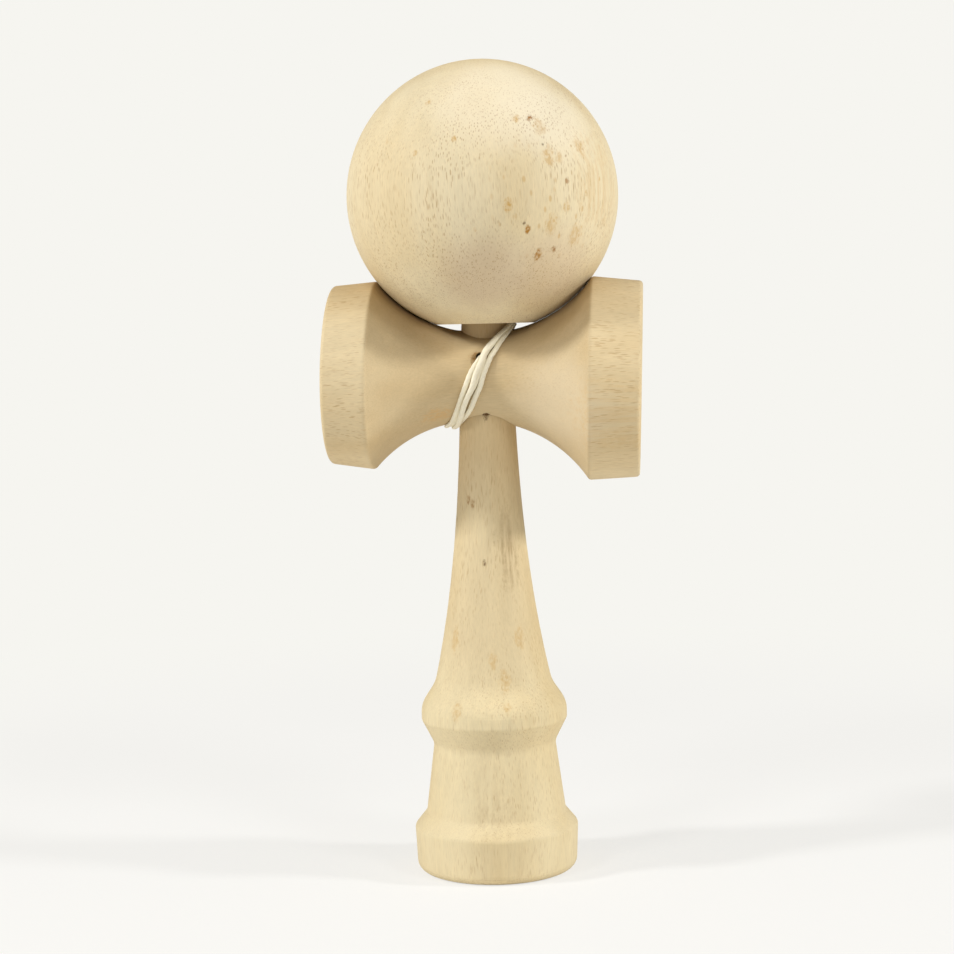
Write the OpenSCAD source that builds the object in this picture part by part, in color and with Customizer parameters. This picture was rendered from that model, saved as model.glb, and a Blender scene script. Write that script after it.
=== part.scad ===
// A turned wooden cup and ball toy: a handle that runs up into a spike, a cross piece with
// a cup at each end that is pushed down onto the spike's taper, a bored ball that sits on
// the spike, and a string that ties the ball to the handle and is wound away round the
// cross piece's waist.
// The floor is z = 0 and the handle's axis is Z. The cross piece lies along X, with its
// larger cup towards +X, and its string hole faces -Y.

/* [Ball] */
// Diameter of the ball
ball_d = 59.6; // [54:0.2:66]
// Diameter of the bore that takes the spike
spike_bore_d = 17; // [14:0.5:19]
// Width of the bevel round the mouth of that bore
mouth_bevel_w = 2.3; // [1.5:0.1:3.5]
// Depth of the bevel
mouth_bevel_h = 4; // [3:0.5:6]
// Diameter of the string hole through the top of the ball
ball_string_hole_d = 3; // [2:0.1:4]
// Width of the countersink round that hole
ball_countersink_w = 3; // [2.5:0.1:4]
// Gap between the ball and the saddle that it sits in
seat_gap = 0.04; // [0.02:0.02:1]

/* [Cross piece] */
// Height of its axis above the top of the grip
cross_rise = 11.5; // [10:0.1:14]
// Length from one cup's rim to the other's
cross_len = 68.4; // [62:0.2:80]
// How far its larger end hangs down, in degrees
cross_lean = 1.9; // [0:0.1:4]
// Diameter of the waist
waist_d = 20.3; // [18:0.1:24]
// How far the saddle's arc would dip into the straight middle of the waist
saddle_dip = 0.45; // [0.3:0.05:1]
// Diameter of the ridge beside the larger cup
big_ridge_d = 44.8; // [42:0.2:48]
// Diameter of the larger cup's rim
big_rim_d = 43; // [38:0.2:46]
// Depth of the larger cup
big_cup_depth = 8; // [6:0.2:10]
// Diameter of the ridge beside the smaller cup
small_ridge_d = 41.6; // [39:0.2:45]
// Diameter of the smaller cup's rim
small_rim_d = 39.4; // [36:0.2:43]
// Depth of the smaller cup
small_cup_depth = 7.2; // [6:0.2:9]
// Thickness of both cups' walls at the rim
rim_wall = 2.3; // [1.5:0.1:4]
// Radius of the rims' outer edges
rim_round = 0.9; // [0.2:0.1:1.2]
// Radius of the ridges
ridge_round = 0.8; // [0.2:0.1:1.2]
// Radial clearance between its bore and the handle's taper
taper_gap = 0.05; // [0.02:0.01:0.1]
// Diameter of its string hole
cross_string_hole_d = 2; // [1.6:0.1:3]
// Place of the string hole along X
string_hole_x = -0.6; // [-2:0.1:0]
// Height of the string hole above the cross piece's axis
string_hole_rise = 4.5; // [3:0.1:6]
// Width of the countersink round the string hole
string_countersink_w = 0.8; // [0.3:0.1:1.5]
// Width of the chip under the front of its bore
chip_w = 1.1; // [0.5:0.1:2]
// Height of the chip
chip_h = 1.3; // [0.5:0.1:2]
// Place of the chip along X
chip_x = 0.2; // [-1:0.1:1]

/* [Handle] */
// Diameter of the base at its widest
base_d = 36.5; // [32:0.5:42]
// Height of the base ring's widest edge
base_h = 9.9; // [8:0.1:14]
// Radius of that edge
base_round = 1.4; // [0.5:0.1:2.2]
// How much the base ring narrows towards its foot, on each side
base_taper = 0.45; // [0:0.05:1.5]
// Radius of the edge under the base
foot_round = 2.4; // [0.3:0.1:3]
// Width of the flat ring that the toy stands on
foot_w = 2.1; // [1.5:0.1:5]
// Depth of the cup under the base
base_cup_depth = 6.6; // [5.5:0.2:9]
// Width of the shoulder between base ring and neck
shoulder_w = 2.7; // [1:0.1:4]
// How far the shoulder slopes up to the neck
shoulder_rise = 3.3; // [0.5:0.1:5]
// Height of neck and shoulder together
neck_h = 18.7; // [14:0.1:24]
// Diameter of the neck below the collar
neck_top_d = 27.1; // [24:0.1:30]
// Radius of the hollow where neck and collar meet
neck_round = 3; // [1:0.5:5]
// Diameter of the collar
collar_d = 32.5; // [30:0.1:36]
// Height of the collar's slanted underside
collar_under_h = 5.3; // [4:0.2:8]
// Radius of the collar's lower edge
collar_edge_round = 1.6; // [0.3:0.1:2]
// Height of the collar's widest part
collar_band_h = 1.6; // [1:0.2:4]
// Height of the curve from the collar to the grip
collar_crown_h = 8; // [5:0.2:12]
// Diameter at the foot of the grip
grip_foot_d = 25.4; // [22:0.2:28]
// Height of the grip
grip_h = 54.9; // [40:0.1:70]
// Diameter at the top of the grip
grip_top_d = 12.56; // [11:0.1:14]
// How much of its radius the foot of the grip loses in each millimetre
grip_flare = 0.22; // [0.1:0.01:0.3]
// Diameter of the taper where the spike leaves the cross piece
spike_root_d = 10.8; // [9:0.1:12]
// How far the spike stands in the ball
spike_reach = 30.4; // [24:0.2:34]
// Diameter of the spike's tip
tip_d = 6; // [4:0.2:7]
// Radius of the tip's edge
tip_round = 2.4; // [0.5:0.1:2.8]

/* [String] */
// Diameter of the string
cord_d = 1; // [0.8:0.1:1.2]
// Gap between neighbouring turns of the winding
turn_gap = 0.5; // [0.42:0.02:0.7]
// Gap between the winding and the wood
wound_gap = 0.2; // [0.15:0.05:0.4]
// Diameter of the knots at the string's ends
knot_d = 3.2; // [2.8:0.1:3.6]
// Length of a knot along the string
knot_h = 2.2; // [1.8:0.1:2.6]
// Diameter of the string hole through the handle
handle_string_hole_d = 1.8; // [1.4:0.1:2]
// Clearance round the knot in the handle's pocket
knot_gap = 0.4; // [0.2:0.1:0.8]
// How deep the knot lies under the skin of the taper
knot_cover = 1; // [0.6:0.1:1.6]

/* [Stopper bead] */
// Diameter of the bead that stops the string in the ball
bead_d = 8; // [6:0.2:10]
// Length of the bead along the string
bead_h = 6.4; // [5:0.2:8]
// Radius of the bead's edges
bead_round = 2; // [0.5:0.1:2.4]
// Diameter of the hole through the bead
bead_hole_d = 1.6; // [1.4:0.1:2]
// Gap between the bead and the end of the ball's bore
bead_gap = 0.3; // [0.1:0.1:1]
// Gap between the knot under the bead and the tip of the spike
tip_gap = 1.6; // [0.5:0.1:4]

/* [Hidden] */
$fn = 96;

wood = [0.87, 0.78, 0.63];
bead_wood = [0.80, 0.68, 0.50];
cream = [0.93, 0.90, 0.80];

// A cut runs this far past the face that it opens
cut = 1;
// Small rounding of the inner edges of the cups
lip_round = 0.5;
// Rounding where the neck meets the shoulder
shoulder_fillet = 1.9;

// Heights up the handle
neck_top_z = base_h + neck_h;
collar_edge_z = neck_top_z + collar_under_h;
collar_z = collar_edge_z + collar_band_h;
grip_foot_z = collar_z + collar_crown_h;
grip_top_z = grip_foot_z + grip_h;
cross_z = grip_top_z + cross_rise;

// The saddle is an arc round the ball's centre, which lies on the handle's axis
waist_r = waist_d / 2;
saddle_r = ball_d / 2 + seat_gap;
ball_rise = (waist_r - saddle_dip + saddle_r) / cos(cross_lean);
ball_z = cross_z + ball_rise;
arc_x = -ball_rise * sin(cross_lean);
arc_h = ball_rise * cos(cross_lean);

// Mouth of the ball's bore
mouth_r = spike_bore_d / 2 + mouth_bevel_w;
mouth_z = ball_z - sqrt(pow(ball_d / 2, 2) - pow(mouth_r, 2));

// The taper carries the cross piece, and the spike goes on from it
spike_root_z = cross_z + waist_r;
taper = (grip_top_d - spike_root_d) / 2 / (spike_root_z - grip_top_z);
spike_tip_z = mouth_z + spike_reach;
function taper_r(z) = grip_top_d / 2 - taper * (z - grip_top_z);

// What hangs on the string inside the ball, from the bottom up
bead_knot_z = spike_tip_z + tip_gap;
bead_z = bead_knot_z + knot_h;
bore_end_z = bead_z + bead_h + bead_gap;

// The string hole runs along Y through the cross piece and the handle
string_hole_z = cross_z + string_hole_rise;
pocket_y = taper_r(string_hole_z) - knot_h - knot_cover;

function unit(v) = v / norm(v);
function smooth(t) = let (s = max(0, min(1, t))) s * s * (3 - 2 * s);

// Points of a cubic curve
function bezier(p, steps) = [
    for (i = [0 : steps])
        let (t = i / steps, s = 1 - t)
            s * s * s * p[0] + 3 * s * s * t * p[1] + 3 * s * t * t * p[2] + t * t * t * p[3]
];

// An arc in place of a corner, held short of the middle of the lines beside it
function fillet(before, corner, after, radius, steps) =
    let (
        u = unit(before - corner),
        v = unit(after - corner),
        half = acos(u * v) / 2,
        room = 0.48 * min(norm(before - corner), norm(after - corner)),
        r = min(radius, room * tan(half)),
        centre = corner + unit(u + v) * r / sin(half),
        first = corner + u * r / tan(half) - centre,
        last = corner + v * r / tan(half) - centre,
        start = atan2(first.y, first.x),
        turn = atan2(first.x * last.y - first.y * last.x, first * last)
    )
        [for (i = [0 : steps]) let (a = start + turn * i / steps) centre + r * [cos(a), sin(a)]];

// An outline from corners [x, y, radius], where a radius of 0 keeps the corner
function rounded(corners, steps = 6) = [
    for (i = [0 : len(corners) - 1])
        let (c = corners[i], p = [c.x, c.y])
            each c.z == 0 ? [p] : fillet(
                [corners[i - 1].x, corners[i - 1].y], p,
                [corners[i + 1].x, corners[i + 1].y], c.z, steps)
];

function sharp(points) = [for (p = points) [p.x, p.y, 0]];

// A hollow from its deepest point to just short of its rim, as [radius, depth]
function dish(mouth, depth, steps = 14) =
    let (
        r = (mouth * mouth + depth * depth) / 2 / depth,
        rim = asin(mouth / r)
    )
        [for (i = [0 : steps - 1]) let (a = rim * i / steps) [r * sin(a), depth - r * (1 - cos(a))]];

// Outline of the handle as [radius, height]
foot_r = base_d / 2 - base_taper;
base_cup_r = foot_r - foot_round - foot_w;
grip_third = grip_h / 3;
crown_bend = 0.42 * collar_crown_h;
crown_curve = [
    [collar_d / 2, collar_z],
    [collar_d / 2, collar_z + crown_bend],
    [grip_foot_d / 2 + grip_flare * crown_bend, grip_foot_z - crown_bend],
    [grip_foot_d / 2, grip_foot_z]
];
grip_curve = [
    [grip_foot_d / 2, grip_foot_z],
    [grip_foot_d / 2 - grip_flare * grip_third, grip_foot_z + grip_third],
    [grip_top_d / 2 + taper * grip_third, grip_top_z - grip_third],
    [grip_top_d / 2, grip_top_z]
];
handle_corners = concat(
    sharp(dish(base_cup_r, base_cup_depth)),
    [
        [base_cup_r, 0, lip_round],
        [foot_r, 0, foot_round],
        [base_d / 2, base_h, base_round],
        [base_d / 2 - shoulder_w, base_h + shoulder_rise, shoulder_fillet],
        [neck_top_d / 2, neck_top_z, neck_round],
        [collar_d / 2, collar_edge_z, collar_edge_round]
    ],
    sharp(bezier(crown_curve, 14)),
    [for (i = [1 : 22]) let (p = bezier(grip_curve, 22)[i]) [p.x, p.y, 0]],
    [
        [spike_root_d / 2, spike_root_z, 0],
        [tip_d / 2, spike_tip_z, tip_round],
        [0, spike_tip_z, 0]
    ]
);

// Outline of the cross piece as [radius, place along its axis]
cross_half = cross_len / 2;
function ridge_reach(ridge_d) = sqrt(pow(saddle_r, 2) - pow(arc_h - ridge_d / 2, 2));
// The waist's straight middle runs out into the saddle's arc over a short curve
waist_ease = 0.15;
function saddle_at(x) =
    let (over = arc_h - sqrt(pow(saddle_r, 2) - pow(x - arc_x, 2)) - waist_r)
        waist_r + (over + sqrt(over * over + waist_ease * waist_ease)) / 2;
small_ridge_x = arc_x - ridge_reach(small_ridge_d);
big_ridge_x = arc_x + ridge_reach(big_ridge_d);
saddle_steps = 40;
saddle_points = [
    for (i = [1 : saddle_steps - 1])
        let (x = small_ridge_x + (big_ridge_x - small_ridge_x) * i / saddle_steps)
            [saddle_at(x), x, 0]
];
small_cup = dish(small_rim_d / 2 - rim_wall, small_cup_depth);
big_cup = dish(big_rim_d / 2 - rim_wall, big_cup_depth);
cross_corners = concat(
    [for (p = small_cup) [p.x, p.y - cross_half, 0]],
    [
        [small_rim_d / 2 - rim_wall, -cross_half, lip_round],
        [small_rim_d / 2, -cross_half, rim_round],
        [small_ridge_d / 2, small_ridge_x, ridge_round]
    ],
    saddle_points,
    [
        [big_ridge_d / 2, big_ridge_x, ridge_round],
        [big_rim_d / 2, cross_half, rim_round],
        [big_rim_d / 2 - rim_wall, cross_half, lip_round]
    ],
    [for (i = [len(big_cup) - 1 : -1 : 0]) [big_cup[i].x, cross_half - big_cup[i].y, 0]]
);

// The winding leans across the waist: right of the spike on top, left of the handle below.
// Angle 0 is on top and 90 in front. The turns lie side by side, then the last one climbs
// a layer behind the waist and comes back over them.
turn_pitch = cord_d + turn_gap;
pitch_x = 1.2 * turn_pitch;
reverse_turn = 1.73;
wind_steps = 24;
wind_end = 1320;
lead_bend_r = 2 * cord_d;
// Share of the swing that straightens the run between spike and handle
straighten = 0.11;
wind_bulge = 0.4;
lean_shift = waist_r * sin(cross_lean);
wind_top_x = taper_r(cross_z + waist_r) + cord_d / 2 + wound_gap - lean_shift;
wind_low_x = lean_shift - taper_r(cross_z - waist_r) - cord_d / 2 - wound_gap - 1.5 * pitch_x;
wind_mid = (wind_top_x + wind_low_x) / 2;
wind_swing = (wind_top_x - wind_low_x) / 2;

// How many turns the winding has moved along X, and how far it has climbed
function wind_turn(a) = a / 360 - 1;
function wind_layer(a) = smooth(2 * (wind_turn(a) - reverse_turn) + 0.5);
function wind_shift(a) =
    let (d = abs(wind_turn(a) - reverse_turn))
        reverse_turn - (d < 0.25 ? 2 * d * d + 0.125 : d);
function wind_x(a) = wind_mid + wind_bulge * sin(a) + pitch_x * wind_shift(a)
    + wind_swing * ((1 - straighten) * cos(a) + straighten * cos(3 * a));
function wind_r(a) = saddle_at(wind_x(a)) + wound_gap + cord_d / 2 + turn_pitch * wind_layer(a);

// From the cross piece's own frame, which leans, to the toy's
function leaned(p) = [
    p.x * cos(cross_lean) + p.z * sin(cross_lean),
    p.y,
    cross_z + p.z * cos(cross_lean) - p.x * sin(cross_lean)
];
function wind_point(a) = leaned([wind_x(a), -wind_r(a) * sin(a), wind_r(a) * cos(a)]);

// The lead runs straight out of the string hole, bends down and aside and meets the first turn
lead_r = waist_r + wound_gap + cord_d / 2;
lead_z = string_hole_rise - lead_bend_r;
lead_y = sqrt(pow(lead_r - lead_bend_r, 2) - lead_z * lead_z);
wind_start = 90 - atan2(lead_z, lead_y);
lead_aside = wind_point(wind_start).x - string_hole_x;
lead_steps = 6;
lead_points = concat(
    [for (y = [pocket_y, pocket_y - cord_d, -lead_y / 2]) [string_hole_x, y, string_hole_z]],
    [
        for (i = [0 : lead_steps - 1])
            let (t = i / lead_steps, a = 90 - wind_start * t)
                [
                    string_hole_x + lead_aside * t * t,
                    -lead_y - lead_bend_r * cos(a),
                    cross_z + lead_z + lead_bend_r * sin(a)
                ]
    ]
);
wind_count = round((wind_end - wind_start) * wind_steps / 360);
turn_points = [
    for (i = [0 : wind_count])
        wind_point(wind_start + (wind_end - wind_start) * i / wind_count)
];
wind_way = unit(turn_points[wind_count] - turn_points[wind_count - 1]);
wind_last = turn_points[wind_count] + cord_d * wind_way;
winding_path = concat(lead_points, turn_points, [wind_last]);

// Least gap between turns, from each point to each piece of the line half a turn or more away
function from_line(p, a, b) =
    let (t = max(0, min(1, (p - a) * (b - a) / ((b - a) * (b - a)))))
        norm(p - a - t * (b - a));
turn_gaps = [
    for (i = [0 : wind_count - wind_steps / 2], j = [i + wind_steps / 2 : wind_count - 1])
        from_line(turn_points[i], turn_points[j], turn_points[j + 1]) - cord_d
];
echo("least gap between turns of the winding, in mm", min(turn_gaps));

// The rest of the string goes up behind the ball and into the hole in its top
rise_points = [
    [-0.2, 12.6, 108], [1.5, 15.4, 113.2], [2.7, 18.7, 119], [3.4, 22.3, 125.4],
    [3.6, 25.7, 131.9], [3.6, 28.4, 138], [3.5, 30.3, 144.8], [3.3, 30.8, 151.8],
    [3, 29.5, 158.6], [2.6, 26.7, 165.1], [2.1, 22.6, 170.7], [1.6, 17.4, 175.2],
    [1.1, 11.7, 177.9], [0.6, 7, 179.4], [0.2, 4.2, 179.6], [0, 2.2, 178.9], [0, 0.7, 177.6],
    [0, 0, 176]
];
rise_end = rise_points[len(rise_points) - 1] - [0, 0, cord_d];
rise_steps = 2;

// A smooth line through points, with steps to each stretch
function spline(p, steps) = concat(
    [
        for (i = [0 : len(p) - 2], k = [0 : steps - 1])
            let (
                t = k / steps,
                a = p[max(i - 1, 0)],
                b = p[i],
                c = p[i + 1],
                d = p[min(i + 2, len(p) - 1)]
            )
                b + t / 2 * (c - a + t * (2 * a - 5 * b + 4 * c - d + t * (3 * b - a - 3 * c + d)))
    ],
    [p[len(p) - 1]]
);

rise_path = concat(
    [wind_last],
    spline(concat([wind_last + cord_d * wind_way], rise_points), rise_steps),
    [rise_end]
);

// A tube of the string along a path, with ends square to it
module tube(path, sides) {
    n = len(path);
    points = [
        for (i = [0 : n - 1])
            let (
                t = unit(path[min(i + 1, n - 1)] - path[max(i - 1, 0)]),
                s = unit([1, 0, 0] - t.x * t),
                u = cross(t, s)
            )
                for (j = [0 : sides - 1])
                    path[i] + cord_d / 2 * (cos(360 * j / sides) * s + sin(360 * j / sides) * u)
    ];
    skin = [
        for (i = [0 : n - 2], j = [0 : sides - 1])
            let (a = i * sides, k = (j + 1) % sides)
                each [[a + j, a + sides + j, a + sides + k], [a + j, a + sides + k, a + k]]
    ];
    ends = [
        for (j = [1 : sides - 2])
            let (e = (n - 1) * sides)
                each [[0, j, j + 1], [e, e + j + 1, e + j]]
    ];
    polyhedron(points, concat(skin, ends));
}

// A knot with flat ends, standing on its lower end
module knot() {
    translate([0, 0, knot_h / 2])
        intersection() {
            sphere(d = knot_d);
            cube([2 * knot_d, 2 * knot_d, knot_h], center = true);
        }
}

// Along the string hole, from its axis at the origin towards the front
module along_string_hole() {
    translate([string_hole_x, 0, string_hole_z])
        rotate([90, 0, 0])
            children();
}

module handle() {
    color(wood)
        difference() {
            rotate_extrude()
                polygon(rounded(handle_corners));
            along_string_hole()
                translate([0, 0, -pocket_y - cut])
                    cylinder(d = handle_string_hole_d, h = pocket_y + cut + grip_top_d);
            along_string_hole()
                translate([0, 0, -pocket_y - grip_top_d])
                    cylinder(d = knot_d + 2 * knot_gap, h = grip_top_d);
        }
}

module cross_cups() {
    bore_low = cross_z - waist_r - grip_top_d / 2;
    bore_high = cross_z + waist_r + grip_top_d / 2;
    hole_face = sqrt(pow(waist_r, 2) - pow(string_hole_rise, 2));
    chip_y = taper_r(cross_z - waist_r / 2);
    color(wood)
        difference() {
            translate([0, 0, cross_z])
                rotate([0, 90 + cross_lean, 0])
                    rotate_extrude()
                        polygon(rounded(cross_corners));
            translate([0, 0, bore_low])
                cylinder(
                    h = bore_high - bore_low,
                    r1 = taper_r(bore_low) + taper_gap,
                    r2 = taper_r(bore_high) + taper_gap);
            along_string_hole()
                cylinder(d = cross_string_hole_d, h = waist_d);
            along_string_hole()
                translate([0, 0, hole_face - string_countersink_w])
                    cylinder(
                        h = 4 * string_countersink_w,
                        r1 = cross_string_hole_d / 2,
                        r2 = cross_string_hole_d / 2 + 4 * string_countersink_w);
            translate([chip_x, -chip_y, cross_z - sqrt(pow(waist_r, 2) - pow(chip_y, 2))])
                rotate([0, 90, 0])
                    cylinder(d = chip_h, h = chip_w, center = true);
        }
}

module ball() {
    string_hole_r = ball_string_hole_d / 2;
    countersink_z = ball_z + ball_d / 2 - ball_countersink_w;
    color(wood)
        difference() {
            translate([0, 0, ball_z])
                sphere(d = ball_d);
            translate([0, 0, mouth_z - cut])
                cylinder(d = spike_bore_d, h = bore_end_z - mouth_z + cut);
            translate([0, 0, mouth_z - mouth_bevel_h])
                cylinder(
                    h = 2 * mouth_bevel_h,
                    r1 = mouth_r + mouth_bevel_w,
                    r2 = mouth_r - mouth_bevel_w);
            translate([0, 0, bore_end_z - cut])
                cylinder(d = ball_string_hole_d, h = ball_d);
            translate([0, 0, countersink_z])
                cylinder(
                    h = 2 * ball_countersink_w,
                    r1 = string_hole_r,
                    r2 = string_hole_r + 2 * ball_countersink_w);
        }
}

module stopper_bead() {
    hole_r = bead_hole_d / 2;
    color(bead_wood)
        translate([0, 0, bead_z])
            rotate_extrude()
                polygon(rounded([
                    [hole_r, 0, 0],
                    [bead_d / 2, 0, bead_round],
                    [bead_d / 2, bead_h, bead_round],
                    [hole_r, bead_h, 0]
                ]));
}

module string_winding() {
    color(cream)
        tube(winding_path, 6);
}

module string_rise() {
    color(cream)
        tube(rise_path, 8);
}

module string_drop() {
    color(cream)
        translate([0, 0, bead_z])
            cylinder(d = cord_d, h = rise_end.z - bead_z);
}

module handle_knot() {
    color(cream)
        along_string_hole()
            translate([0, 0, -pocket_y - knot_h])
                knot();
}

module bead_knot() {
    color(cream)
        translate([0, 0, bead_knot_z])
            knot();
}

handle();
cross_cups();
ball();
stopper_bead();
string_winding();
string_rise();
string_drop();
handle_knot();
bead_knot();
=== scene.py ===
import math

import bpy
import numpy as np
from mathutils import Matrix, Vector


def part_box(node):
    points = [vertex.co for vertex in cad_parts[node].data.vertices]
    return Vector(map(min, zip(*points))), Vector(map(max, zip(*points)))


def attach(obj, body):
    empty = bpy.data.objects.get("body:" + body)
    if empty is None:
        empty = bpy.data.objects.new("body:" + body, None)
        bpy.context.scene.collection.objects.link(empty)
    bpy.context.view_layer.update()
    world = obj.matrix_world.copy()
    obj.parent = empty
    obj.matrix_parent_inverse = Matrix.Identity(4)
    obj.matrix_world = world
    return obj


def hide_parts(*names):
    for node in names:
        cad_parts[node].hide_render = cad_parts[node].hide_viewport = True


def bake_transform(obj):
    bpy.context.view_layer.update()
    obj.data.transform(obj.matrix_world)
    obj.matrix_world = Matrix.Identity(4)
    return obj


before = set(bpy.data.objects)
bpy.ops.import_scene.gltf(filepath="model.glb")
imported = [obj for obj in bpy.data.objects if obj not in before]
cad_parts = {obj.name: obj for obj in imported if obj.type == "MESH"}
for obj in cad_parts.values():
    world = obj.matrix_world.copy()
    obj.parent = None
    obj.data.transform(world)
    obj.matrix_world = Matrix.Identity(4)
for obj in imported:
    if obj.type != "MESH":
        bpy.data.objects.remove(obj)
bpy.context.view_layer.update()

MM = 0.001


# Camera: in front of the toy, a little to its right and a little above its middle

IMAGE_SIDE = 954
CAMERA_DISTANCE = 451.3 * MM
CAMERA_HEIGHT = 121.65 * MM
CAMERA_ROUND = math.radians(4.66)
CAMERA_DOWN = math.radians(4.1)
CAMERA_ROLL = math.radians(1.33)
CAMERA_NEAR = 10 * MM
FOCAL_PIXELS = 2038.5
AXIS_RIGHT_PIXELS = 11.7
AXIS_UP_PIXELS = 7.2
SENSOR_MM = 36

camera_data = bpy.data.cameras.new("camera")
camera_data.sensor_width = SENSOR_MM
camera_data.lens = SENSOR_MM * FOCAL_PIXELS / IMAGE_SIDE
camera_data.shift_x = -AXIS_RIGHT_PIXELS / IMAGE_SIDE
camera_data.shift_y = -AXIS_UP_PIXELS / IMAGE_SIDE
camera_data.clip_start = CAMERA_NEAR
camera = bpy.data.objects.new("camera", camera_data)
bpy.context.scene.collection.objects.link(camera)
camera.location = (
    CAMERA_DISTANCE * math.sin(CAMERA_ROUND),
    -CAMERA_DISTANCE * math.cos(CAMERA_ROUND),
    CAMERA_HEIGHT,
)
camera.rotation_mode = "QUATERNION"
camera.rotation_quaternion = (
    Matrix.Rotation(CAMERA_ROUND, 3, "Z")
    @ Matrix.Rotation(math.pi / 2 - CAMERA_DOWN, 3, "X")
    @ Matrix.Rotation(-CAMERA_ROLL, 3, "Z")
).to_quaternion()
bpy.context.scene.camera = camera


# String, in millimetres

# One cord from the knot in the handle, out of the cross piece and round its waist, up behind the
# ball, in at the ball's top and down to the knot under the bead
CORD_D = 1.0
WAIST_R = 10.15
SADDLE_DIP = 0.45
SADDLE_R = 29.84
WAIST_EASE = 0.15
CROSS_Z = 109.9
LEAN = math.radians(1.9)
STRING_HOLE_X = -0.6
STRING_HOLE_RISE = 4.5
POCKET_Y = 2.43
BEAD_KNOT_TOP = 155.9
WOOD_GAP = 0.06
LEAD_BEND_R = 2 * CORD_D
LEAD_STEPS = 8
SPLINE_STEPS = 8
# The soft cord is pressed flat where it is wound: its height and width there in shares of its
# own, how far along the string that starts, and how long the change takes
PRESSED_H = 0.74
PRESSED_W = 1.2
PRESS_FROM = 12
PRESS_RUN = 3
WIND_TURNS = 4
WIND_END_DEGREES = 1320
WIND_POINTS = 600
# How far the free stretch runs into the knot under the bead
INTO_KNOT = 0.6

# One turn leans across the waist: angle round it (0 on top, 90 in front, 180 below, 270 behind)
# and place along it, right of the spike on top and left of the handle below
TURN_LINE = [
    (0, 5.65), (15, 5), (27, 3.8), (46, 1.9), (55, 0.85), (63, 0.25), (70.5, 0), (85, -0.95),
    (99, -1.85), (114, -3.35), (131, -4.55), (157, -6.2), (180, -7.6), (225, -7), (270, -2.6),
    (315, 3.2),
]

# How the turns lie beside that line and above the wood: the first three side by side, parting
# a little in front, and the last one on top of them. Angle wound, beside, layers up.
LANES = [
    (63, -0.75, 0), (70.5, -1.3, 0), (85, -1.75, 0), (99, -1.8, 0), (114, -1.3, 0),
    (131, -1.1, 0), (157, -1, 0), (180, -1.1, 0), (270, -0.6, 0), (360, 0, 0.15),
    (387, 0, 0.5), (406, 0, 0.15), (423, 0, 0), (540, 0, 0), (630, 0.48, 0), (675, 0.42, 0.3),
    (720, 0.3, 0.85), (735, 0.6, 0.8), (747, 1.1, 0.5), (766, 1.35, 0.15), (775, 1.65, 0),
    (783, 1.45, 0), (790, 1.2, 0), (805, 1.15, 0), (819, 1.35, 0), (834, 1.65, 0),
    (851, 1.65, 0), (877, 0.95, 0), (900, 1.1, 0), (945, 1.3, 0), (985, 1.52, 0.05),
    (1010, 1.36, 0.7), (1035, 0.6, 1.1), (1060, 0.35, 1.45), (1080, 0.15, 1.7),
    (1095, 0.3, 1.65), (1107, 0.45, 1.4), (1122, 0, 1.1), (1140, -0.15, 1), (1155, -0.42, 0.9),
    (1170, -0.5, 0.85), (1190, -0.15, 1), (1210, 0, 1), (1240, 0.45, 0.9), (1260, 0.54, 0.85),
    (1320, 0.5, 0.85),
]

# The free stretch: from the winding up behind the ball, in at its top and down
RISE_POINTS = [
    (-0.2, 12.6, 108), (1.5, 15.4, 113.2), (2.7, 18.7, 119), (3.4, 22.3, 125.4),
    (3.6, 25.7, 131.9), (3.6, 28.4, 138), (3.5, 30.3, 144.8), (3.3, 30.8, 151.8),
    (3, 29.5, 158.6), (2.6, 26.7, 165.1), (2.1, 22.6, 170.7), (1.6, 17.4, 175.2),
    (1.1, 11.7, 177.9), (0.6, 7, 179.4), (0.2, 4.2, 179.6), (0, 2.2, 178.9), (0, 0.7, 177.6),
    (0, 0, 176), (0, 0, 174),
]

# The saddle's arc has its centre at the ball's, seen from the leaning cross piece
arc_h = WAIST_R - SADDLE_DIP + SADDLE_R
arc_x = -arc_h * math.tan(LEAN)


def saddle_at(x):
    """The waist's radius: straight in its middle, running out into the saddle's arc."""
    over = arc_h - math.sqrt(SADDLE_R**2 - (x - arc_x) ** 2) - WAIST_R
    return WAIST_R + (over + math.sqrt(over**2 + WAIST_EASE**2)) / 2


def spline(points, steps=SPLINE_STEPS):
    """A smooth line through points, with steps to each stretch."""
    p = np.array(points, float)
    line = []
    for i in range(len(p) - 1):
        a, b, c, d = p[max(i - 1, 0)], p[i], p[i + 1], p[min(i + 2, len(p) - 1)]
        for k in range(steps):
            t = k / steps
            line.append(
                b + t / 2 * (c - a + t * (2 * a - 5 * b + 4 * c - d + t * (3 * b - a - 3 * c + d)))
            )
    return np.array(line + [p[-1]])


def resampled(points, step):
    """The same line in even steps."""
    p = np.array(points, float)
    along = np.concatenate([[0], np.cumsum(np.linalg.norm(np.diff(p, axis=0), axis=1))])
    even = np.linspace(0, along[-1], max(2, int(round(along[-1] / step)) + 1))
    return np.stack([np.interp(even, along, p[:, k]) for k in range(3)], 1)


turn_line = spline(
    [(360 * turn + angle, x) for turn in range(WIND_TURNS) for angle, x in TURN_LINE]
)
lanes = spline(LANES)


def wind_point(degrees):
    """A point of the winding, at an angle counted on from turn to turn."""
    a = math.radians(degrees)
    beside, layers = (np.interp(degrees, lanes[:, 0], lanes[:, k]) for k in (1, 2))
    x = np.interp(degrees, turn_line[:, 0], turn_line[:, 1]) + beside
    r = saddle_at(x) + WOOD_GAP + PRESSED_H * CORD_D * (0.5 + layers)
    y, z = -r * math.sin(a), r * math.cos(a)
    return np.array([
        x * math.cos(LEAN) + z * math.sin(LEAN),
        y,
        CROSS_Z + z * math.cos(LEAN) - x * math.sin(LEAN),
    ])


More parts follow.
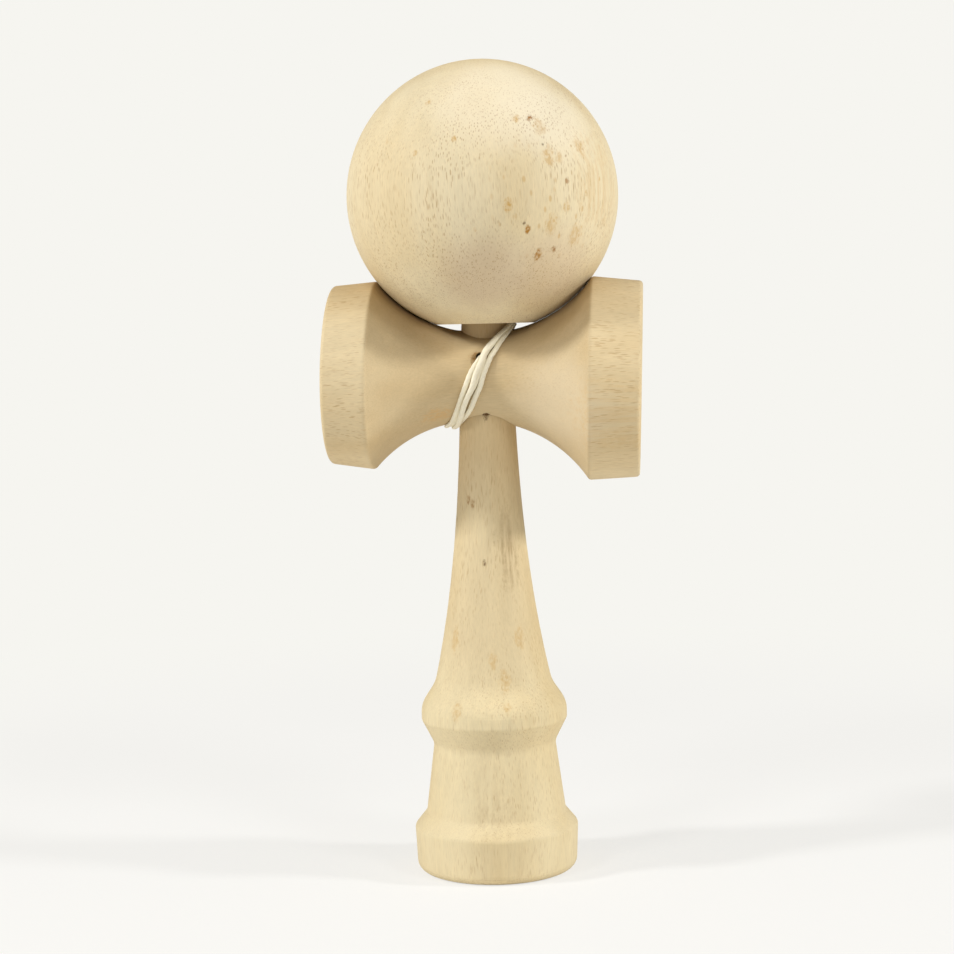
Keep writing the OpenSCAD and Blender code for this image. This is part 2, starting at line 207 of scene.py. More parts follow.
def string_lines():
    """The wound stretch and the free stretch, end to end."""
    hole_z = CROSS_Z + STRING_HOLE_RISE
    lead_r = WAIST_R + WOOD_GAP + PRESSED_H * CORD_D / 2
    lead_z = STRING_HOLE_RISE - LEAD_BEND_R
    lead_y = math.sqrt((lead_r - LEAD_BEND_R) ** 2 - lead_z**2)
    wind_start = 90 - math.degrees(math.atan2(lead_z, lead_y))
    lead_aside = wind_point(wind_start)[0] - STRING_HOLE_X
    lead = [(STRING_HOLE_X, y, hole_z) for y in (POCKET_Y, 0, -lead_y / 2)]
    for t in np.arange(LEAD_STEPS) / LEAD_STEPS:
        a = math.radians(90 - wind_start * t)
        lead.append((
            STRING_HOLE_X + lead_aside * t * t,
            -lead_y - LEAD_BEND_R * math.cos(a),
            CROSS_Z + lead_z + LEAD_BEND_R * math.sin(a),
        ))
    turns = [wind_point(a) for a in np.linspace(wind_start, WIND_END_DEGREES, WIND_POINTS)]
    way = turns[-1] - turns[-2]
    way /= np.linalg.norm(way)
    wound = np.array(lead + turns + [turns[-1] + CORD_D * way])
    rise = spline([wound[-1], wound[-1] + CORD_D * way, *RISE_POINTS])
    drop = np.array([(0, 0, BEAD_KNOT_TOP - INTO_KNOT)])
    return wound, np.concatenate([rise, drop])


# Twist of the cord

# The plies go once round in the lay length
LAY_LENGTH = 4.2
PLIES = 3
# In shares of the cord's radius
PLY_R = 0.84
RING_SIDES = 18
RING_STEP = 0.16
# The string's own map counts once round and once along this length
MAP_LENGTH = 10
# Any direction that the cord doesn't start along
FIRST_ASIDE = (0.3, 0.2, 1.0)


def cord_rings(line):
    """Rings of a twisted cord along a line, as points, with how far along each ring lies."""
    step = np.linalg.norm(np.diff(line, axis=0), axis=1)
    along = np.concatenate([[0], np.cumsum(step)])
    way = np.gradient(line, axis=0)
    way /= np.linalg.norm(way, axis=1)[:, None]
    side = np.cross(way[0], FIRST_ASIDE)
    sides = []
    for t in way:
        side = side - (side @ t) * t
        side /= np.linalg.norm(side)
        sides.append(side)
    sides = np.array(sides)
    other = np.cross(way, sides)
    round_ring = np.arange(RING_SIDES) * 2 * math.pi / RING_SIDES
    phi = (round_ring + math.pi / PLIES) % (2 * math.pi / PLIES) - math.pi / PLIES
    q = 1 - PLY_R
    lobes = q * np.cos(phi) + np.sqrt(PLY_R**2 - (q * np.sin(phi)) ** 2)
    turned = round_ring[None, :] + (2 * math.pi * along / LAY_LENGTH)[:, None]
    radius = CORD_D / 2 * lobes[None, :, None]
    ring = radius * (
        np.cos(turned)[..., None] * sides[:, None, :]
        + np.sin(turned)[..., None] * other[:, None, :]
    )
    return line[:, None, :] + ring, along


def pressed(rings, line, along, wound_length):
    """The rings flattened against the cross piece, along the wound stretch alone."""
    out = (line - (0, 0, CROSS_Z)) * (0, 1, 1)
    out /= np.linalg.norm(out, axis=1)[:, None]
    share = np.minimum(along - PRESS_FROM, wound_length - along) / PRESS_RUN
    share = np.clip(share, 0, 1)[:, None, None]
    spread = rings - line[:, None, :]
    height = (spread * out[:, None, :]).sum(2)[..., None]
    flat = PRESSED_W * spread + (PRESSED_H - PRESSED_W) * height * out[:, None, :]
    return line[:, None, :] + spread + share * (flat - spread)


def tube_piece(name, rings, along):
    """A closed tube from rings, in metres, with its own map round and along it for the fibres."""
    count, sides, _ = rings.shape
    faces = []
    for near in range(0, (count - 1) * sides, sides):
        far = near + sides
        for j in range(sides):
            after = (j + 1) % sides
            faces.append((near + j, near + after, far + after, far + j))
    first = tuple(reversed(range(sides)))
    last = tuple((count - 1) * sides + j for j in range(sides))
    mesh = bpy.data.meshes.new(name)
    mesh.from_pydata((rings.reshape(-1, 3) * MM).tolist(), [], [*faces, first, last])
    uv = mesh.uv_layers.new(name="along_string")
    for face in mesh.polygons:
        at_seam = face.index < len(faces) and face.index % sides == sides - 1
        for k, loop in zip(face.vertices, face.loop_indices):
            around = 1 if at_seam and k % sides == 0 else (k % sides) / sides
            uv.data[loop].uv = (around, along[k // sides] / MAP_LENGTH)
    mesh.polygons.foreach_set("use_smooth", [True] * len(mesh.polygons))
    piece = bpy.data.objects.new(name, mesh)
    bpy.context.scene.collection.objects.link(piece)
    return piece


wound_line, free_line = string_lines()
wound_even = resampled(wound_line, RING_STEP)
whole = np.concatenate([wound_even, resampled(free_line, RING_STEP)[1:]])
split = len(wound_even)
rings, along = cord_rings(whole)
rings = pressed(rings, whole, along, along[split - 1])

string_wound = tube_piece("string_wound", rings[:split], along[:split])
string_free = tube_piece("string_free", rings[split - 1:], along[split - 1:])


# Knots, in millimetres

# An overhand knot is a trefoil round its own axis with both ends led out
KNOT_R = 0.72
KNOT_SWELL = 0.36
KNOT_WAVE = 0.62
KNOT_MIDDLE = 1.1
KNOT_H = 2.2
# Radians round the trefoil
KNOT_START = 0.35
KNOT_STEP = 0.25093
KNOT_POINTS = 23
KNOT_ENTRY = [(0, 0, 2.3), (0.1, 0, 2.0)]
KNOT_EXIT = [(0.2, -0.3, 0.5), (0, -0.2, 0.2)]
KNOT_SPLINE_STEPS = 6
KNOT_RING_STEP = 0.12
# The cord in a knot is drawn thinner
KNOT_TIGHT = 0.84


def knot_line():
    """A tight overhand knot along Z, standing on its lower end at the origin."""
    t = KNOT_START + KNOT_STEP * np.arange(KNOT_POINTS)
    reach = KNOT_R + KNOT_SWELL * np.cos(3 * t)
    height = KNOT_MIDDLE + KNOT_WAVE * np.sin(3 * t)
    loop = np.stack([reach * np.cos(2 * t), reach * np.sin(2 * t), height], 1)
    return spline(np.concatenate([KNOT_ENTRY, loop, KNOT_EXIT]), KNOT_SPLINE_STEPS)


def knot_piece(name, turn, place):
    """A knot of the string, turned and then moved to its place."""
    line = resampled(knot_line(), KNOT_RING_STEP)
    ring, far = cord_rings(line)
    ring = line[:, None, :] + KNOT_TIGHT * (ring - line[:, None, :])
    piece = tube_piece(name, ring, far)
    piece.data.transform(Matrix.Translation(Vector(place) * MM) @ turn.to_4x4())
    return piece


bead_knot = knot_piece("knot_under_bead", Matrix.Identity(3), (0, 0, BEAD_KNOT_TOP - KNOT_H))
handle_knot = knot_piece(
    "knot_in_handle",
    Matrix.Rotation(math.pi / 2, 3, "X"),
    (STRING_HOLE_X, POCKET_Y + KNOT_H, CROSS_Z + STRING_HOLE_RISE),
)

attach(string_wound, "handle")
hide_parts("string_winding")
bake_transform(string_free)
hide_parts("string_rise", "string_drop")
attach(bead_knot, "string_end")
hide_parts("bead_knot")
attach(handle_knot, "handle")
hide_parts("handle_knot")
string_pieces = (string_wound, string_free, bead_knot, handle_knot)


# Ways to build a finish

# Sockets of a Mix node for colours
MIX_SHARE, MIX_FIRST, MIX_SECOND, MIX_RESULT = 0, 6, 7, 2
NOISE_MIDDLE = 0.5
# Share of a dash's width that is fully dark, and where a seed moves the dashes
DASH_CORE = 0.4
DASH_SHIFT = (1, 0.4, 0.2)


class Value:
    """A number that changes over a surface; sums on it add Math nodes to its finish."""

    def __init__(self, finish, socket):
        self.finish = finish
        self.socket = socket

    def maths(self, operation, first, second):
        return self.finish.node("ShaderNodeMath", {"operation": operation}, {0: first, 1: second})

    def __add__(self, other):
        return self.maths("ADD", self, other)

    __radd__ = __add__

    def __sub__(self, other):
        return self.maths("SUBTRACT", self, other)

    def __rsub__(self, other):
        return self.maths("SUBTRACT", other, self)

    def __mul__(self, other):
        return self.maths("MULTIPLY", self, other)

    __rmul__ = __mul__


class Finish:
    """A material and the ways to build its nodes."""

    def __init__(self, name):
        self.material = bpy.data.materials.new(name)
        self.material.use_nodes = True
        self.tree = self.material.node_tree
        self.shader = self.tree.nodes["Principled BSDF"]

    def node(self, kind, settings=None, inputs=None, out=0):
        """A new node with its settings and inputs, as the value of one of its outputs."""
        made = self.tree.nodes.new(kind)
        for key, value in (settings or {}).items():
            setattr(made, key, value)
        for key, value in (inputs or {}).items():
            self.feed(made.inputs[key], value)
        return Value(self, made.outputs[out])

    def feed(self, socket, value):
        """A value is linked to the socket; a number, a vector or a colour is set on it."""
        if isinstance(value, Value):
            self.tree.links.new(value.socket, socket)
        elif hasattr(value, "__len__") and len(value) == 3 and socket.type == "RGBA":
            socket.default_value = (*value, 1)
        else:
            socket.default_value = value

    def surface(self, gloss, **inputs):
        """Feeds the shader: a constant gloss, and inputs by their names in small letters."""
        self.shader.inputs["Specular IOR Level"].default_value = gloss
        for key, value in inputs.items():
            self.feed(self.shader.inputs[key.replace("_", " ").title()], value)

    def mix(self, share, first, second, blend="MIX"):
        """A colour between two, or the first multiplied by the second."""
        return self.node(
            "ShaderNodeMix",
            {"data_type": "RGBA", "blend_type": blend},
            {MIX_SHARE: share, MIX_FIRST: first, MIX_SECOND: second},
            MIX_RESULT,
        )

    def step(self, value, low, high):
        """0 below low, 1 above high and smooth between; high may lie below low."""
        return self.node(
            "ShaderNodeMapRange",
            {"interpolation_type": "SMOOTHSTEP"},
            {"Value": value, "From Min": low, "From Max": high},
        )

    def stretched(self, place, scale, shift=(0, 0, 0), turn=(0, 0, 0)):
        """Coordinates scaled, turned and moved."""
        return self.node(
            "ShaderNodeMapping",
            None,
            {"Vector": place, "Location": shift, "Rotation": turn, "Scale": scale},
        )

    def noise(self, place, scale, detail=2, roughness=0.5):
        """Noise with so many waves to the unit along each axis."""
        return self.node(
            "ShaderNodeTexNoise",
            None,
            {
                "Vector": self.stretched(place, scale),
                "Scale": 1,
                "Detail": detail,
                "Roughness": roughness,
            },
        )

    def pattern(self, grain, across, along, detail, roughness):
        """Noise that is drawn out along the grain."""
        return self.noise(grain, (across, across, along), detail, roughness)

    def apart(self, place, centre, scale=(1, 1, 1)):
        """Distance from a centre, counted longer or shorter along each axis by scale."""
        shift = tuple(-c * s for c, s in zip(centre, scale))
        from_centre = self.stretched(place, scale, shift)
        return self.node("ShaderNodeVectorMath", {"operation": "LENGTH"}, {0: from_centre}, "Value")

    def dashes(self, grain, across, along, width, share, seed):
        """Short lines along Z: cells to the millimetre across and along, and the share kept."""
        shift = tuple(seed * part for part in DASH_SHIFT)
        place = self.stretched(grain, (across, across, along), shift)
        near = self.node(
            "ShaderNodeTexVoronoi", None, {"Vector": place, "Scale": 1, "Randomness": 1}
        )
        cell = Value(self, near.socket.node.outputs["Color"])
        pick = self.node("ShaderNodeSeparateColor", None, {"Color": cell}, "Red")
        return self.step(near, width, DASH_CORE * width) * self.step(pick, 1 - share, 1)


def swing(noise, size):
    """A noise that swings about 0 by a size."""
    return size * (noise - NOISE_MIDDLE)


# Colours


def srgb(red, green, blue):
    """A colour as it shows on a screen, 0 to 255, in the linear values that shaders take."""
    return tuple(
        c / 255 / 12.92 if c <= 10 else ((c / 255 + 0.055) / 1.055) ** 2.4
        for c in (red, green, blue)
    )


PORE = srgb(168, 122, 62)
DARK = srgb(98, 64, 32)
BROWN = srgb(160, 110, 52)
OCHRE = srgb(178, 128, 58)
TAN = srgb(206, 162, 88)
FAINT = srgb(210, 174, 116)
HONEY = srgb(222, 176, 112)
# Painted shade: a darker colour for the ball's lower part, which faces away from the lamps
PAINTED_SHADE_ROSE = srgb(216, 190, 158)
GREY_BROWN = srgb(160, 130, 88)
# Grime and painted shade for the top of the handle and the spike
GRIME_AND_PAINTED_SHADE = srgb(174, 132, 80)
# Painted shade for the saddle under the ball
SHADED = srgb(120, 82, 40)
HALF_SHADED = srgb(150, 116, 70)
BONE = srgb(236, 220, 190)
# Painted light: a lighter colour for the foot, standing in for light from the floor
PAINTED_LIGHT_STRAW = srgb(242, 226, 188)
# Painted light: a lighter colour for the ball's lit upper part
PAINTED_LIGHT_CREAM = srgb(248, 236, 209)


# Wood

# Patterns: waves to the millimetre across and along the grain, detail and roughness
WANDER = (0.05, 0.02, 1, 0.5)
BROAD = (0.07, 0.014, 2, 0.55)
STREAK = (0.9, 0.03, 3, 0.6)
FINE = (4, 0.3, 2, 0.6)
MOTTLE = (0.3, 0.12, 3, 0.6)
PATCH = (0.08, 0.05, 2, 0.5)
ROUGH_EDGE = (0.9, 0.6, 4, 0.7)
WORN = (1.6, 1, 3, 0.5)
# How far the grain wanders aside, in millimetres
WANDER_ASIDE = (3, 3, 0)
# Where each pattern starts to show and where it is full
BROAD_STEP = (0.32, 0.72)
PATCH_STEP = (0.36, 0.66)
WORN_STEP = (0.4, 0.65)
STREAK_STEP = (0.38, 0.6)
# How much the patterns lighten and darken the wood
STREAK_TONE = 0.12
FINE_TONE = 0.22
MOTTLE_TONE = 0.1
# Pores: cells to the millimetre across and along, width, share kept and seed
SHORT_PORES = (3.2, 0.4, 0.45, 0.9, 3.1)
LONG_PORES = (2.4, 0.2, 0.35, 0.7, 17.7)
PORE_STRENGTH = 0.5
PORES_LEAST = 0.35
# Pores lost where the grain is cut across, and the run of that change outside and inside a ridge
END_GRAIN_LOSS = 0.7
RIDGE_OUTSIDE = 0.6
RIDGE_INSIDE = 1
# Speckles: cells to the millimetre across and along, width and seed
SPECKLE_CELLS = (0.8, 0.42, 0.4)
SPECKLE_SEED = 9.3
SPECKLE_STRENGTH = 0.45
# Edges of tones, speckled places and spots, in shares of their width or radius
TONE_WAVER = 0.4
SPECKLED_EDGE = (1.1, 0.4)
SPOT_EDGE = (1.3, 0.45)
SPOT_WAVER = 2.4
# Strength of a fleck where it is whole, what it loses where it is worn, and fine grain in stains
FLECK_WHOLE = 1.15
FLECK_LOSS = 0.8
STAIN_FINE = 0.3
WOOD_GLOSS = 0.12
WOOD_ROUGH = 0.62
STREAK_ROUGH = 0.1
PORE_ROUGH = 0.12
WOOD_BUMP = 0.3
WOOD_BUMP_DEPTH = 0.1 * MM
FINE_HEIGHT = 0.25
STREAK_HEIGHT = 0.3


def wandering_grain(finish, here_mm, shift, grain_turn):
    """Coordinates along the grain, which runs up Z and wanders a little aside."""
    grain = finish.stretched(here_mm, (1, 1, 1), shift, grain_turn)
    wander = finish.pattern(grain, *WANDER)
    aside = finish.node("ShaderNodeCombineXYZ", None, {"X": wander, "Y": wander})
    return finish.node(
        "ShaderNodeVectorMath",
        {"operation": "MULTIPLY_ADD"},
        {0: aside, 1: WANDER_ASIDE, 2: grain},
    )


def between_ridges(finish, here_mm, axis, start, ridges):
    """1 between two places along an axis and 0 beyond them."""
    along = finish.node(
        "ShaderNodeVectorMath", {"operation": "DOT_PRODUCT"}, {0: here_mm, 1: axis}, "Value"
    )
    place = along - start
    low, high = ridges
    after_low = finish.step(place, low - RIDGE_OUTSIDE, low + RIDGE_INSIDE)
    before_high = finish.step(place, high + RIDGE_OUTSIDE, high - RIDGE_INSIDE)
    return after_low * before_high


def wood(
    name, pale, warm, grain_turn=(0, 0, 0), shift=(0, 0, 0), pores=1.0, fleck_scale=(1, 1, 0.72),
    tones_and_painted_light=(), flecks=(), stains_and_painted_shade=(), end_grain=None, speckled=None,
):
    """Plain sanded wood with its grain along Z, or turned from there by grain_turn."""
    finish = Finish(name)
    here = finish.node("ShaderNodeTexCoord", out="Object")
    here_mm = finish.stretched(here, (1 / MM, 1 / MM, 1 / MM))
    grain = wandering_grain(finish, here_mm, shift, grain_turn)
    streak = finish.pattern(grain, *STREAK)
    fine = finish.pattern(grain, *FINE)
    mottle = finish.pattern(grain, *MOTTLE)

    # Ground colour
    colour = finish.mix(finish.step(finish.pattern(grain, *BROAD), *BROAD_STEP), pale, warm)
    tone = 1 + swing(streak, STREAK_TONE) + swing(fine, FINE_TONE) + swing(mottle, MOTTLE_TONE)
    grey = finish.node("ShaderNodeCombineColor", None, {"Red": tone, "Green": tone, "Blue": tone})
    colour = finish.mix(1, colour, grey, "MULTIPLY")
    if end_grain:
        *slopes, slope_tint = end_grain
        cut_across = between_ridges(finish, here_mm, *slopes)
        colour = finish.mix(cut_across, colour, slope_tint, "MULTIPLY")
    # Tones, some of them painted light and painted shade
    for centre, near, far, strength, tint in tones_and_painted_light:
        reach = finish.apart(here_mm, centre) + swing(mottle, TONE_WAVER * (far - near))
        colour = finish.mix(finish.step(reach, far, near) * strength, colour, tint)

    # Pores and speckles
    patch = finish.step(finish.pattern(grain, *PATCH), *PATCH_STEP)
    lines = finish.dashes(grain, *SHORT_PORES) + finish.dashes(grain, *LONG_PORES)
    lines = lines * (PORES_LEAST + (1 - PORES_LEAST) * patch) * pores
    if end_grain:
        lines = lines * (1 - END_GRAIN_LOSS * cut_across)
    lines = finish.node("ShaderNodeClamp", None, {"Value": lines})
    colour = finish.mix(PORE_STRENGTH * lines, colour, PORE)
    if speckled:
        centre, radius, share = speckled
        spot = finish.step(finish.apart(here_mm, centre) * (1 / radius), *SPECKLED_EDGE)
        speckles = finish.dashes(grain, *SPECKLE_CELLS, share, SPECKLE_SEED) * spot
        colour = finish.mix(SPECKLE_STRENGTH * speckles, colour, TAN)

    # Flecks and stains, some of them painted shade
    ragged = swing(finish.pattern(grain, *ROUGH_EDGE), SPOT_WAVER)
    worn = finish.step(finish.pattern(grain, *WORN), *WORN_STEP)
    mottled = FLECK_WHOLE - FLECK_LOSS * worn
    streaky = finish.step(streak + swing(fine, STAIN_FINE), *STREAK_STEP)
    for spots, cover in ((flecks, mottled), (stains_and_painted_shade, streaky)):
        for centre, radius, strength, tint in spots:
            reach = finish.apart(here_mm, centre, fleck_scale)
            spot = finish.step(reach * (1 / radius) + ragged, *SPOT_EDGE)
            colour = finish.mix(spot * strength * cover, colour, tint)

    height = FINE_HEIGHT * fine + STREAK_HEIGHT * streak - lines
    bump = finish.node(
        "ShaderNodeBump",
        None,
        {"Strength": WOOD_BUMP, "Distance": WOOD_BUMP_DEPTH, "Height": height},
    )
    rough = WOOD_ROUGH + swing(streak, STREAK_ROUGH) + PORE_ROUGH * lines
    finish.surface(WOOD_GLOSS, base_color=colour, roughness=rough, normal=bump)
    return finish.material


# Marks on the ball, placed as the camera sees them

ball_low, ball_high = (np.array(corner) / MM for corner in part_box("ball"))
ball_centre = (ball_low + ball_high) / 2
ball_r = (ball_high[0] - ball_low[0]) / 2
eye = np.array(camera.location) / MM
camera_turn = np.array(camera.rotation_quaternion.to_matrix())


def on_ball(right, up):
    """The point of the ball's near side that shows so far right of and above its middle."""
    way = ball_centre + camera_turn @ (right, up, 0) - eye
    way /= np.linalg.norm(way)
    back = eye - ball_centre
    half = way @ back
    return tuple(eye - way * (half + math.sqrt(half**2 - back @ back + ball_r**2)))


# Right, up, radius, strength and colour of the ball's flecks
BALL_FLECKS = [
    (-12.1, 20.5, 0.8, 0.6, TAN), (7.5, 16.6, 0.9, 0.9, TAN), (10.5, 16.8, 0.8, 1, BROWN),
    (12.7, 14.8, 1.6, 0.5, FAINT), (13.4, 10.8, 0.35, 0.8, DARK), (14.6, 8.2, 1.5, 0.5, TAN),
    (17, 7.9, 0.9, 0.4, TAN), (21.5, 10.5, 1.6, 0.4, TAN), (18.4, 8.3, 0.35, 0.7, BROWN),
    (5.6, -2.7, 1, 0.8, TAN), (7.2, -5.1, 0.6, 0.4, FAINT), (9.1, -6.6, 0.35, 0.8, DARK),
    (9.8, -7.9, 0.7, 1, OCHRE), (12.1, -13.3, 0.95, 1, OCHRE), (15.4, -12.2, 0.7, 0.8, BROWN),
    (16.6, -13.6, 0.5, 0.7, BROWN), (15.1, -6.8, 1.5, 0.45, TAN), (18.4, -3.2, 0.9, 0.5, TAN),
    (20.3, -9.2, 1.7, 0.4, TAN), (-1.6, -8.1, 0.45, 0.5, TAN), (-6.4, 12, 0.6, 0.7, TAN),
    (-14.9, 9, 0.6, 0.7, TAN), (-21.2, 11.6, 0.6, 0.35, FAINT), (5.9, 23.1, 0.4, 0.5, TAN),
    (18.7, 2.8, 0.5, 0.7, BROWN), (22.8, -0.2, 0.5, 0.5, TAN), (25.8, 3.1, 0.4, 0.5, TAN),
]
# Painted light on the ball's upper part and painted shade on its lower part, as lighter and darker
# tones
BALL_PAINTED_LIGHT_AND_SHADE = [
    (on_ball(4, 22), 8, 18, 0.5, PAINTED_LIGHT_CREAM), (on_ball(16, 17), 4, 14, 0.5, PAINTED_LIGHT_CREAM),
    (on_ball(0, -18), 4, 13, 0.5, PAINTED_SHADE_ROSE), (on_ball(15, -17), 4, 13, 0.4, PAINTED_SHADE_ROSE),
]
BALL_STAINS = [(on_ball(26, 2), 8, 0.3, TAN)]
BALL_SPECKLED = (on_ball(15, -2), 17, 0.35)


# Marks on the cross piece and the handle

# Flecks and stains have a centre, a radius, a strength and a colour. Tones have a centre, the
# distances from it where they are full and where they end, a strength and a colour. Some flecks,
# stains and tones are painted shade, and one tone is painted light.
# Painted shade: a dark spot for the shade inside the small chip where the cross piece meets the
# handle
CHIP_PAINTED_SHADE = ((0.2, -6.1, 101.8), 0.65, 1.4, DARK)
CROSS_FLECKS = [
    CHIP_PAINTED_SHADE, ((-1.6, -9, 114.7), 0.95, 0.75, BROWN), ((-10.4, -7.2, 101.9), 2.4, 0.4, HONEY),
]
# Painted shade on the saddle: darkest next to the ball's contact and lighter farther down the
# slopes under the ball. Then a lighter tone low at the front right.
CROSS_TONES_AND_PAINTED_SHADE = [
    (tuple(ball_centre), 30, 34, 0.5, SHADED), (tuple(ball_centre), 31, 46, 0.22, HALF_SHADED),
    ((17, -15, 104), 5, 15, 0.4, BONE),
]
CROSS_STAINS = [((28, -20, 102), 8, 0.2, TAN)]
# The saddle's slopes cut across the grain between the two ridges
CROSS_AXIS = (math.cos(LEAN), 0, -math.sin(LEAN))
AXIS_START = -CROSS_Z * math.sin(LEAN)
RIDGES = (-24.8, 23.5)
SADDLE_TINT = (0.85, 0.83, 0.8)

HANDLE_FLECKS = [
    CHIP_PAINTED_SHADE, ((-7.6, -7.7, 52.9), 1.3, 0.35, TAN), ((6.6, -8.6, 52.9), 1.2, 0.35, TAN),
    ((0.9, -11.7, 48.3), 0.9, 0.35, TAN), ((3.4, -12.1, 44), 1.3, 0.35, TAN),
    ((3.9, -14.7, 38.7), 0.9, 0.35, TAN), ((-7, -14, 38), 1.2, 0.35, TAN),
    ((-4.1, -5.8, 83.2), 0.5, 0.6, BROWN), ((-3.2, -6.5, 82.2), 0.5, 0.6, BROWN),
    ((-0.7, -8.4, 69.5), 0.35, 0.7, DARK),
]
# Grime and painted shade at the top of the handle and on the spike, where the cross piece and the
# ball shade them. A slightly darker tone at the middle of the grip. Painted light at the foot, as a
# lighter tone.
HANDLE_TONES_AND_PAINTED_LIGHT = [
    ((0, 0, 118), 24, 50, 0.31, GRIME_AND_PAINTED_SHADE), ((0, 0, 126), 7, 16, 0.3, GRIME_AND_PAINTED_SHADE),
    ((0, -10, 60), 8, 26, 0.16, GRIME_AND_PAINTED_SHADE), ((0, 0, 3), 10, 26, 0.4, PAINTED_LIGHT_STRAW),
]
# Grey-brown streaks on the upper grip: dirt with painted shade where the shadows of the cross piece
# overlap. Also faint grey-brown stains low on the handle.
HANDLE_STAINS_AND_PAINTED_SHADE = [
    ((4.7, -6.5, 75), 3, 0.35, GREY_BROWN), ((4.8, -7, 69), 3, 0.35, GREY_BROWN),
    ((-1, -14, 21), 5, 0.12, GREY_BROWN), ((2, -16, 6), 7, 0.12, GREY_BROWN),
]


# The wood of each piece

ball_wood = wood(
    "ball_wood", pale=srgb(235, 219, 182), warm=srgb(227, 207, 165),
    shift=(11, 4, 3), pores=1.15, tones_and_painted_light=BALL_PAINTED_LIGHT_AND_SHADE,
    flecks=[(on_ball(right, up), *rest) for right, up, *rest in BALL_FLECKS],
    stains_and_painted_shade=BALL_STAINS, speckled=BALL_SPECKLED,
)
cross_wood = wood(
    "cross_wood", pale=srgb(232, 212, 171), warm=srgb(223, 199, 154),
    grain_turn=(0, -math.pi / 2 + LEAN, 0), shift=(40, 13, 7), pores=0.95, fleck_scale=(0.72, 1, 1),
    tones_and_painted_light=CROSS_TONES_AND_PAINTED_SHADE, flecks=CROSS_FLECKS, stains_and_painted_shade=CROSS_STAINS,
    end_grain=(CROSS_AXIS, AXIS_START, RIDGES, SADDLE_TINT),
)
handle_wood = wood(
    "handle_wood", pale=srgb(234, 217, 176), warm=srgb(226, 205, 159),
    shift=(71, 29, 0), pores=0.65, fleck_scale=(1, 1, 0.45),
    tones_and_painted_light=HANDLE_TONES_AND_PAINTED_LIGHT, flecks=HANDLE_FLECKS, stains_and_painted_shade=HANDLE_STAINS_AND_PAINTED_SHADE,
)
bead_wood = wood(
    "bead_wood", pale=srgb(214, 184, 138), warm=srgb(196, 162, 112), shift=(5, 90, 31)
)
for node, finish in (
    ("ball", ball_wood),
    ("cross_cups", cross_wood),
    ("handle", handle_wood),
    ("stopper_bead", bead_wood),
):
    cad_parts[node].material_slots[0].material = finish


# The string's cotton

# Waves round and along the string, on its own map
FIBRE_WAVES = (26, 90, 1)
SOIL_WAVES = (1.5, 4, 1)
FIBRE_STEP = (0.3, 0.75)
SOIL_STEP = (0.45, 0.8)
SOIL_STRENGTH = 0.3
COTTON = srgb(250, 240, 210)
COTTON_FIBRE = srgb(255, 250, 230)
COTTON_SOIL = srgb(244, 233, 200)
COTTON_ROUGH = 0.75
FIBRE_ROUGH = 0.15
FIBRE_BUMP = 0.4
FIBRE_BUMP_DEPTH = 0.05 * MM
COTTON_GLOSS = 0.25
COTTON_SHEEN = 0.2


def string_finish():
    """Off-white cotton with pale fibres and a little soil."""
    finish = Finish("cream_string")
    map_here = finish.node("ShaderNodeUVMap", {"uv_map": "along_string"})
    fibre = finish.noise(map_here, FIBRE_WAVES, detail=3, roughness=0.6)
    soil = finish.noise(map_here, SOIL_WAVES)
    colour = finish.mix(finish.step(fibre, *FIBRE_STEP), COTTON, COTTON_FIBRE)
    colour = finish.mix(SOIL_STRENGTH * finish.step(soil, *SOIL_STEP), colour, COTTON_SOIL)
    bump = finish.node(
        "ShaderNodeBump",
        None,
        {"Strength": FIBRE_BUMP, "Distance": FIBRE_BUMP_DEPTH, "Height": fibre},
    )
    rough = COTTON_ROUGH + FIBRE_ROUGH * fibre
    finish.surface(COTTON_GLOSS, base_color=colour, roughness=rough, normal=bump)
    finish.shader.inputs["Sheen Weight"].default_value = COTTON_SHEEN
    return finish.material


cotton = string_finish()
for piece in string_pieces:
    piece.data.materials.append(cotton)


# Floor and backdrop

BACKDROP = srgb(246, 245, 240)
FLOOR_SIDE = 60
FLOOR_TINT = (0.86, 0.85, 0.83)
# The floor's own glow to the camera, its share there, and how far from the toy the floor runs
# out into the backdrop. Metres.
FLOOR_GLOW = (0.99, 0.98, 0.944)
FLOOR_SHARE = 0.66
FLOOR_FADE = (0.16, 0.36)
SKY_TINT = (1, 0.99, 0.97)
SKY_STRENGTH = 0.19


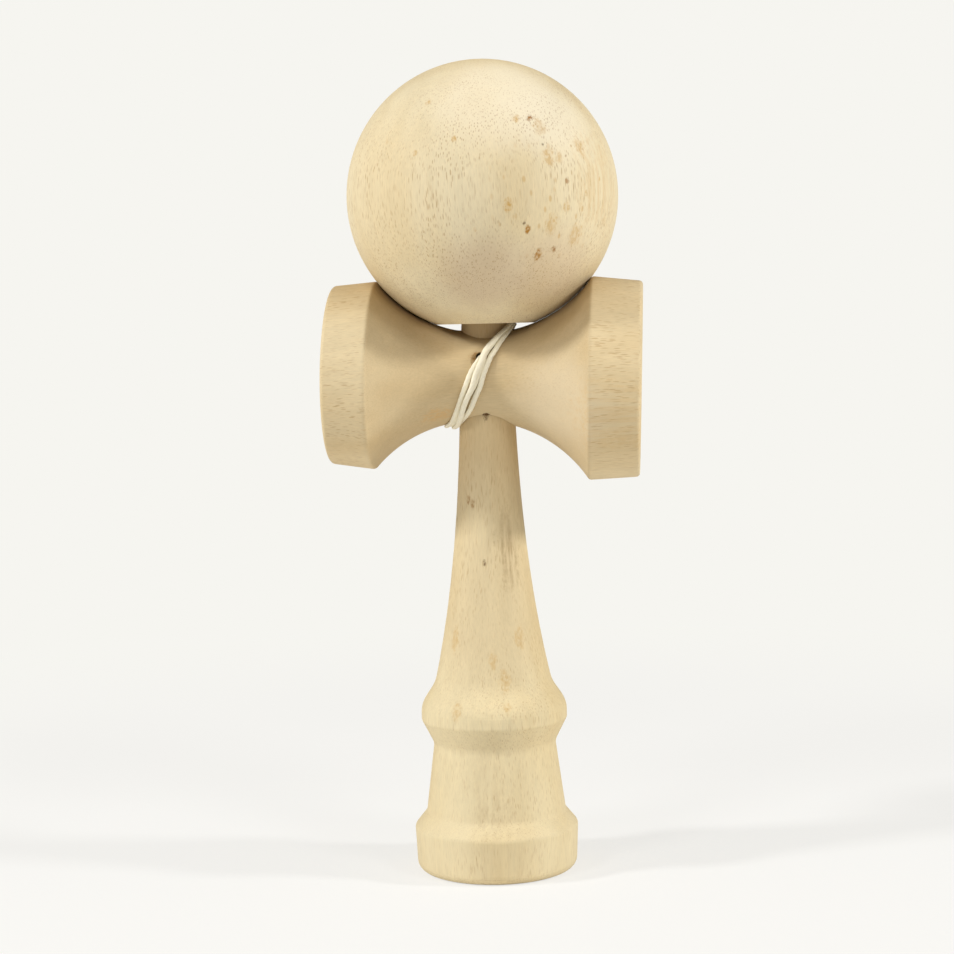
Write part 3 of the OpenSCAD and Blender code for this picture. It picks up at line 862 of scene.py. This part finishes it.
def floor_finish():
    """A pale floor that keeps the toy's shadow near it and shows as the backdrop farther off."""
    ground = Finish("pale_floor")
    seen = ground.node("ShaderNodeLightPath", out="Is Camera Ray")
    glossy = Value(ground, seen.socket.node.outputs["Is Glossy Ray"])
    either = ground.node("ShaderNodeMath", {"operation": "MAXIMUM"}, {0: seen, 1: glossy})
    here = ground.node("ShaderNodeTexCoord", out="Object")
    far = ground.step(ground.apart(here, (0, 0, 0)), *FLOOR_FADE)
    glow = ground.mix(far, FLOOR_GLOW, BACKDROP)
    flat = ground.node("ShaderNodeEmission", None, {"Color": glow})
    lit = ground.node("ShaderNodeBsdfDiffuse", None, {"Color": FLOOR_TINT})
    share = either * (FLOOR_SHARE + (1 - FLOOR_SHARE) * far)
    shown = ground.node("ShaderNodeMixShader", None, {0: share, 1: lit, 2: flat})
    ground.feed(ground.tree.nodes["Material Output"].inputs["Surface"], shown)
    return ground.material


bpy.ops.object.select_all(action="DESELECT")
bpy.ops.mesh.primitive_plane_add(size=FLOOR_SIDE, location=(0, 0, 0))
floor = bpy.context.object
floor.name = "floor"
floor.data.materials.append(floor_finish())

world = bpy.data.worlds.new("studio")
bpy.context.scene.world = world
world.use_nodes = True
sky = world.node_tree
dim = sky.nodes["Background"]
dim.inputs["Color"].default_value = (*SKY_TINT, 1)
dim.inputs["Strength"].default_value = SKY_STRENGTH
backdrop = sky.nodes.new("ShaderNodeBackground")
backdrop.inputs["Color"].default_value = (*BACKDROP, 1)
seen_by = sky.nodes.new("ShaderNodeLightPath")
either_sky = sky.nodes.new("ShaderNodeMixShader")
sky.links.new(seen_by.outputs["Is Camera Ray"], either_sky.inputs[0])
sky.links.new(dim.outputs[0], either_sky.inputs[1])
sky.links.new(backdrop.outputs[0], either_sky.inputs[2])
sky.links.new(either_sky.outputs[0], sky.nodes["World Output"].inputs["Surface"])


# Lamps

# All lamps stand so far from one place on the toy and are turned to it. Metres.
LAMP_AWAY = 1.15
LAMP_AIM = Vector((0, 0, 0.1))
# Degrees round from the front to the right, degrees up, size and watts
LAMPS = {
    "left_side": (-70, 34, 0.13, 7.2),
    "right_side": (82, 27.5, 0.13, 6.7),
    "left_front": (-38, 38, 0.26, 2.5),
    "right_front": (47, 38, 0.26, 2.4),
}
for name, (turned, raised, size, watts) in LAMPS.items():
    data = bpy.data.lights.new(name, "AREA")
    data.size = size
    data.energy = watts
    lamp = bpy.data.objects.new(name, data)
    a, e = math.radians(turned), math.radians(raised)
    way = Vector((math.sin(a) * math.cos(e), -math.cos(a) * math.cos(e), math.sin(e)))
    lamp.location = LAMP_AIM + LAMP_AWAY * way
    lamp.rotation_mode = "QUATERNION"
    lamp.rotation_quaternion = way.to_track_quat("Z", "Y")
    bpy.context.scene.collection.objects.link(lamp)

bpy.context.scene.view_settings.view_transform = "Standard"
